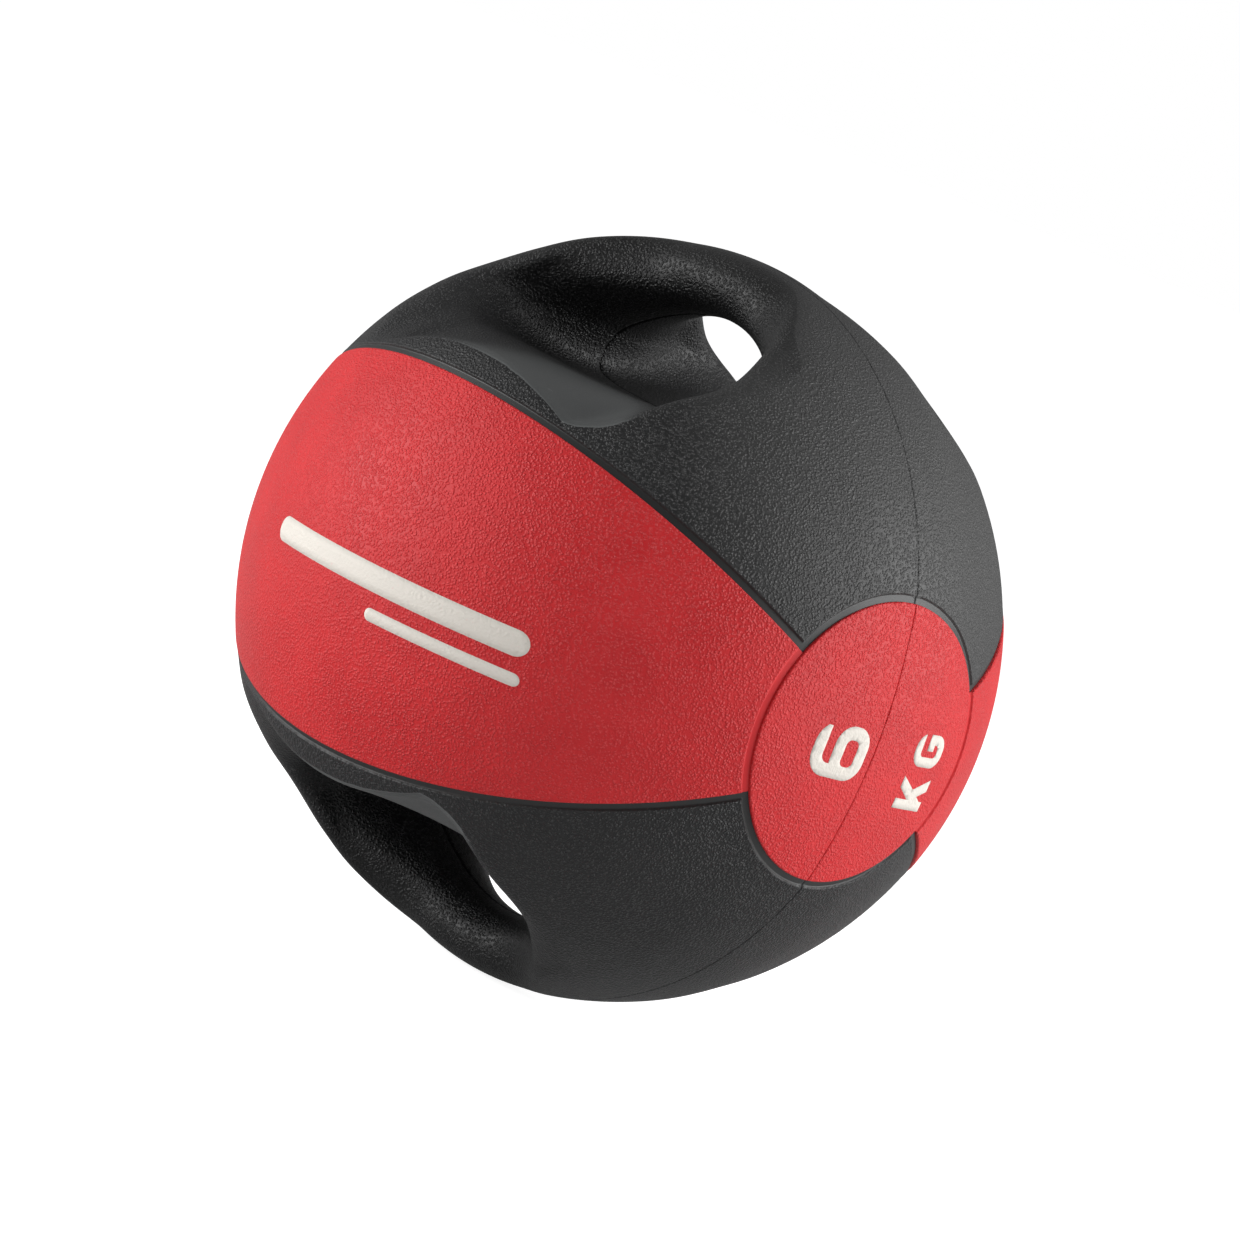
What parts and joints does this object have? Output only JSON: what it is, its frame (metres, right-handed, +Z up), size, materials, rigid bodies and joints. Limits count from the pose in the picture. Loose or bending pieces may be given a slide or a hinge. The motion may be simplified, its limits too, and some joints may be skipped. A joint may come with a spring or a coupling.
{
  "type": "medicine ball",
  "caption": "Weighted rubber exercise ball with a bar grip spanning a finger tunnel at its top and at its bottom, in red and black skins over a hollow carcass.",
  "frame": {"origin": "centre of the ball", "axes": "+Z up through the crest of the top grip, -Y through the middle of the front red panel, +X through the end disc with the weight marking; the grips run along X and the tunnels under them along Y"},
  "size_m": [0.275, 0.275, 0.275],
  "materials": {
    "red_rubber": "red moulded rubber with a fine pebble grain, matt",
    "black_rubber": "black moulded rubber with a fine pebble grain, matt, smooth in the channels and tunnels",
    "carcass_rubber": "dense filled black rubber, matt",
    "bladder": "smooth butyl rubber",
    "off_white_marking": "off-white ink on the rubber's grain, matt"
  },
  "bodies": {
    "root": {"bladder": "bladder", "valve_housing": "black_rubber", "valve_plug": "bladder", "carcass_front": "carcass_rubber", "carcass_rear": "carcass_rubber", "top_bar_core": "carcass_rubber", "bottom_bar_core": "carcass_rubber", "top_grip_front": "black_rubber", "top_grip_rear": "black_rubber", "bottom_grip_front": "black_rubber", "bottom_grip_rear": "black_rubber", "front_panel": "red_rubber", "rear_panel": "red_rubber", "right_disc_front": "red_rubber", "right_disc_rear": "red_rubber", "left_disc_front": "red_rubber", "left_disc_rear": "red_rubber", "weight_digit": "off_white_marking", "weight_unit": "off_white_marking", "front_stripe": "off_white_marking", "front_short_stripe": "off_white_marking"}
  },
  "joints": []
}
